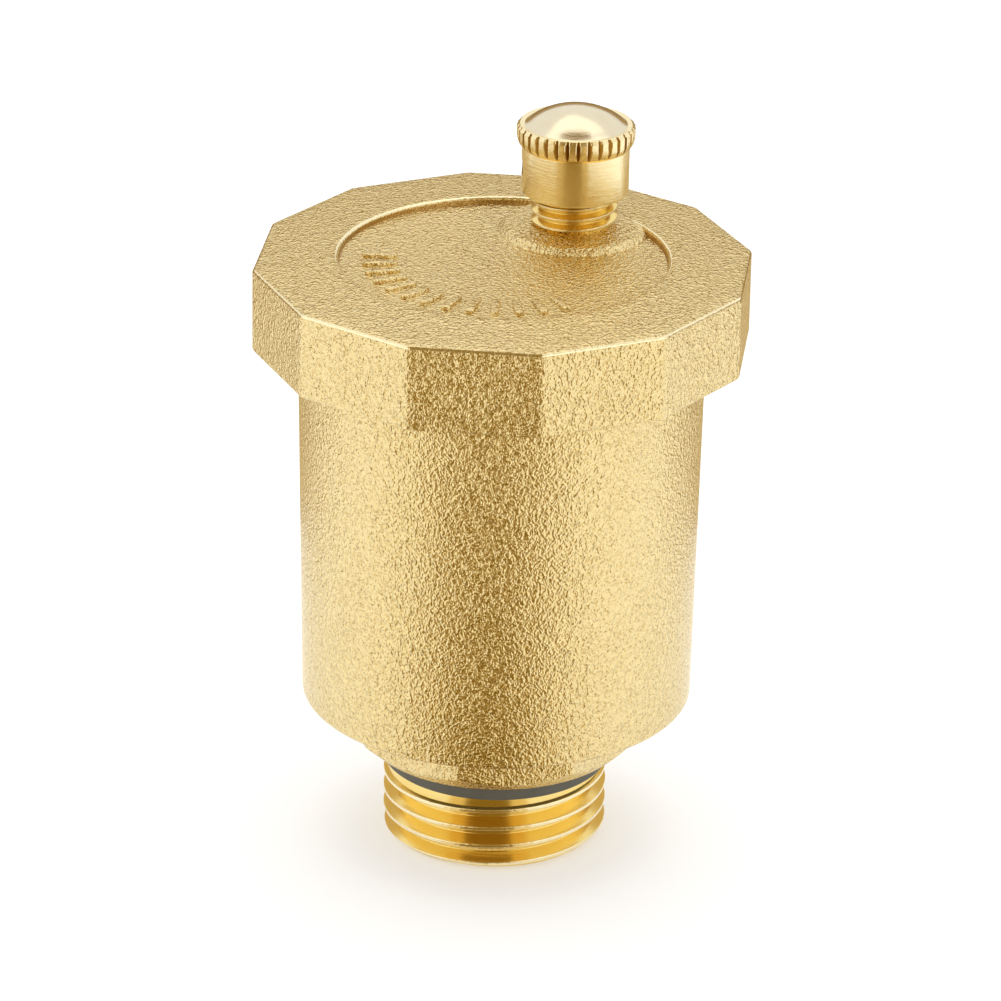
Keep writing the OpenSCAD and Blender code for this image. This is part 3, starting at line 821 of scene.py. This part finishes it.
cap_brass = material("cap_brass", cap_surface)
dome_reflection_brass = material("dome_reflection_brass", dome_reflection_surface)
knurl_shade_brass = material("knurl_shade_brass", knurl_shade_surface)
dome_h = cap_high.z - cap_rim_z - cap_rim_h
dome_ball = (dome_r ** 2 + dome_h ** 2) / (2 * dome_h)
dome_line = []
for i in range(15):
    r = dome_r * (1 - i / 14)
    dome_line.append((r, cap_high.z - dome_ball + math.sqrt(dome_ball ** 2 - r ** 2)))
rim_top_z = cap_rim_z + cap_rim_h
crown_line = []
for i in range(13):
    turn = math.pi / 2 * i / 12
    crown_line.append((
        cap_barrel_r + 0.02 + (cap_rim_r - cap_barrel_r - 0.02) * math.sin(turn),
        cap_rim_z + 1.2 - 1.18 * math.cos(turn),
    ))
crown_line += along(crown_line[-1], (cap_rim_r, rim_top_z - 0.3), 3)[:-1]
cap = lathe(
    [(0, cap_roof_z)]
    + outline([
        (0, cap_roof_z, 0), (cap_bore_r, cap_roof_z, 0.2), (cap_bore_r, cap_low.z, 0.3),
        (cap_barrel_r, cap_low.z, 0.3), (cap_barrel_r, cap_rim_z - undercut, 0),
        (cap_barrel_r - undercut, cap_rim_z - 0.04, 0),
        (cap_barrel_r - undercut, cap_rim_z + 0.02, 0),
    ])[1:]
    + crown_line
    + outline([
        (cap_rim_r, rim_top_z - 0.3, 0), (cap_rim_r - 0.3, rim_top_z, 0.12),
        (dome_r + 0.12, rim_top_z - 0.06, 0.05), (dome_r, rim_top_z - 0.1, 0),
    ])[:-1]
    + dome_line,
    teeth * 16, closed=False,
)
# The dome's faces get the paler brass, a painted reflection of the sky.
for face in cap.faces:
    middle = face.calc_center_median()
    if middle.z > rim_top_z - 0.08 and math.hypot(middle.x, middle.y) < dome_r + 0.1:
        face.material_index = 1


def groove_depth(place):
    """How deep the knurl's V-grooves are at a place's angle; below 0 on the teeth between."""
    angle = teeth * math.atan2(place.y, place.x) / (2 * math.pi)
    return knurl_depth * (1 - abs(angle - round(angle)) / knurl_half)


for vert in cap.verts:
    r = math.hypot(vert.co.x, vert.co.y)
    if r > cap_barrel_r and cap_rim_z < vert.co.z < rim_top_z + 0.01:
        factor = min(r, cap_rim_r - max(groove_depth(vert.co), 0)) / r
        vert.co = (vert.co.x * factor, vert.co.y * factor, vert.co.z)
# The knurl's groove faces get the darker brass: painted shade in the grooves.
for face in cap.faces:
    middle = face.calc_center_median()
    depth = cap_rim_r - math.hypot(middle.x, middle.y)
    groove = groove_depth(middle)
    if cap_rim_z < middle.z < rim_top_z - 0.02 and groove > 0.06 and abs(depth - groove) < 0.04:
        face.material_index = 2

hole = lathe([(0, 3.5), (side_hole_r, 3.5), (side_hole_r, 5.5), (0, 5.5)], 32, closed=False)
turn = (
    Matrix.Rotation(math.radians(side_hole_bearing), 3, "Z")
    @ Matrix.Rotation(math.pi / 2, 3, "Y")
)
bmesh.ops.rotate(hole, verts=hole.verts, cent=(0, 0, 0), matrix=turn)
bmesh.ops.translate(hole, vec=(0, 0, cap_low.z + 2.3), verts=hole.verts)
cap = cut(cap, hole)
bmesh.ops.translate(cap, vec=(vent_x, 0, 0), verts=cap.verts)
finish_piece(
    cap, "vent_cap_turning", "cap", [cap_brass, dome_reflection_brass, knurl_shade_brass],
    ["vent_cap"], 28,
)
soften("vent_cap_seal", "cap_seal_disc", "cap_seal", rubber, 0.12)


# Stage: a plain pale floor that glows a little, in a white tent, with one soft light overhead.
# Cards stand out of sight and are seen only in the metal: brown ones draw its darker bands, and
# white ones its bright edges.
def floor_surface(at):
    """Matt white board, with a glow of its own that thins the shadow on it."""
    return at.node("ShaderNodeBsdfPrincipled", sockets={
        "Base Color": (0.62, 0.62, 0.615, 1),
        "Roughness": 0.9,
        "Specular IOR Level": 0.1,
        "Emission Color": (1, 1, 1, 1),
        "Emission Strength": 0.40,
    })


def card_colour(colour):
    """A card of one even brightness, whatever the light on it."""
    return lambda at: at.node("ShaderNodeEmission", sockets={"Color": colour})


def place_card(made, name, surface, seen=False):
    """A card or the floor, which only the metal's reflections see unless it is to be seen."""
    mesh = bpy.data.meshes.new(name)
    made.to_mesh(mesh)
    made.free()
    mesh.materials.append(material(name, surface))
    card = bpy.data.objects.new(name, mesh)
    bpy.context.scene.collection.objects.link(card)
    card.visible_camera = seen
    card.visible_diffuse = seen
    card.visible_shadow = seen


view_azimuth = math.radians(-53.8)
view_elevation = math.radians(23.717)
forward = Vector((-math.sin(view_azimuth), math.cos(view_azimuth), 0))
right = Vector((forward.y, -forward.x, 0))
floor = bmesh.new()
bmesh.ops.create_grid(floor, x_segments=1, y_segments=1, size=4)
place_card(floor, "floor", floor_surface, True)


def gap_card(name, spread, colour, lift, reach, aside=-5):
    """A strip on the floor towards the camera, which then curves up and over."""
    strip = bmesh.new()
    near, far = 0.012, reach
    corners = [
        (-near * spread, -near), (near * spread, -near), (far * spread, -far),
        (-far * spread, -far),
    ]
    verts = [strip.verts.new((x, y, lift)) for x, y in corners]
    strip.faces.new(verts)
    edge = strip.edges.get((verts[2], verts[3]))
    bmesh.ops.spin(
        strip, geom=[edge, verts[2], verts[3]], cent=(0, 0, lift), axis=(1, 0, 0),
        angle=math.radians(-80), steps=16,
    )
    turn = Matrix.Rotation(view_azimuth + math.radians(aside), 3, "Z")
    bmesh.ops.rotate(strip, verts=strip.verts, cent=(0, 0, 0), matrix=turn)
    place_card(strip, name, card_colour(colour))


gap_card("card_dark", 0.34, (0.24, 0.145, 0.025, 1), 0.0006, 1.1)
gap_card("card_mid", 0.66, (0.80, 0.63, 0.34, 1), 0.0003, 1.12)


def wall_card(name, colour, radius, low, high, start, end):
    """An upright card, curved round the object between two bearings from the camera's side."""
    wall = bmesh.new()
    verts = [wall.verts.new((0, -radius, z)) for z in (low, high)]
    edge = wall.edges.new(verts)
    bmesh.ops.rotate(
        wall, verts=verts, cent=(0, 0, 0),
        matrix=Matrix.Rotation(view_azimuth + math.radians(start), 3, "Z"),
    )
    bmesh.ops.spin(
        wall, geom=[edge, *verts], cent=(0, 0, 0), axis=(0, 0, 1),
        angle=math.radians(end - start), steps=24,
    )
    place_card(wall, name, card_colour(colour))


wall_card("strip_left", (1.7, 1.65, 1.5, 1), 1.0, 0.36, 0.60, -24, -80)
wall_card("strip_right", (1.7, 1.65, 1.5, 1), 1.0, 0.36, 0.60, 14, 70)
wall_card("card_behind", (0.40, 0.25, 0.08, 1), 1.3, 0.0, 0.36, 95, 265)
wall_card("card_edges", (0.62, 0.47, 0.24, 1), 0.07, 0.002, 0.046, 122, 238)

ground = bmesh.new()
bmesh.ops.create_grid(ground, x_segments=1, y_segments=1, size=0.5)
bmesh.ops.scale(ground, vec=(2.4, 1, 1), verts=ground.verts)
bmesh.ops.translate(ground, vec=(0, 0.69, 0.0004), verts=ground.verts)
turn = Matrix.Rotation(view_azimuth, 3, "Z")
bmesh.ops.rotate(ground, verts=ground.verts, cent=(0, 0, 0), matrix=turn)
place_card(ground, "card_ground", card_colour((0.20, 0.12, 0.04, 1)))

above = bmesh.new()
bmesh.ops.create_grid(above, x_segments=1, y_segments=1, size=0.5)
bmesh.ops.translate(above, vec=forward * 0.35 + Vector((0, 0, 1.15)), verts=above.verts)
place_card(above, "card_above", card_colour((1.5, 1.46, 1.38, 1)))

zenith = bmesh.new()
bmesh.ops.create_grid(zenith, x_segments=1, y_segments=1, size=0.15)
bmesh.ops.scale(zenith, vec=(2.2, 1, 1), verts=zenith.verts)
bmesh.ops.translate(zenith, vec=(0, -0.02, 1.1), verts=zenith.verts)
bmesh.ops.rotate(zenith, verts=zenith.verts, cent=(0, 0, 0), matrix=turn)
place_card(zenith, "card_zenith", card_colour((0.30, 0.19, 0.07, 1)))

world = bpy.data.worlds.new("tent")
bpy.context.scene.world = world
world.use_nodes = True
world.node_tree.nodes["Background"].inputs["Color"].default_value = (1, 1, 1, 1)
world.node_tree.nodes["Background"].inputs["Strength"].default_value = 1.0

lamp = bpy.data.lights.new("overhead", "AREA")
lamp.size = 1.2
lamp.energy = 6
overhead = bpy.data.objects.new("overhead", lamp)
overhead.location = forward * 0.3 + Vector((0, 0, 1.2))
overhead.visible_glossy = False
bpy.context.scene.collection.objects.link(overhead)


# Camera: a long lens about half a metre away and a little above the cover, turned very slightly
# about its own axis.
look_at = right * 0.000111 + Vector((0, 0, 0.033243))
camera_distance = 0.533325
camera_roll = math.radians(1.025)
camera = bpy.data.cameras.new("camera")
camera.lens = 207.38
camera.sensor_width = 36
camera.clip_start = 0.01
holder = bpy.data.objects.new("camera", camera)
out = Vector((
    math.sin(view_azimuth) * math.cos(view_elevation),
    -math.cos(view_azimuth) * math.cos(view_elevation),
    math.sin(view_elevation),
))
holder.location = look_at + out * camera_distance
roll = Matrix.Rotation(camera_roll, 4, "Z")
aim = (-out).to_track_quat("-Z", "Y").to_matrix().to_4x4()
holder.matrix_world = Matrix.Translation(holder.location) @ aim @ roll
bpy.context.scene.collection.objects.link(holder)
bpy.context.scene.camera = holder
bpy.context.scene.view_settings.view_transform = "Standard"
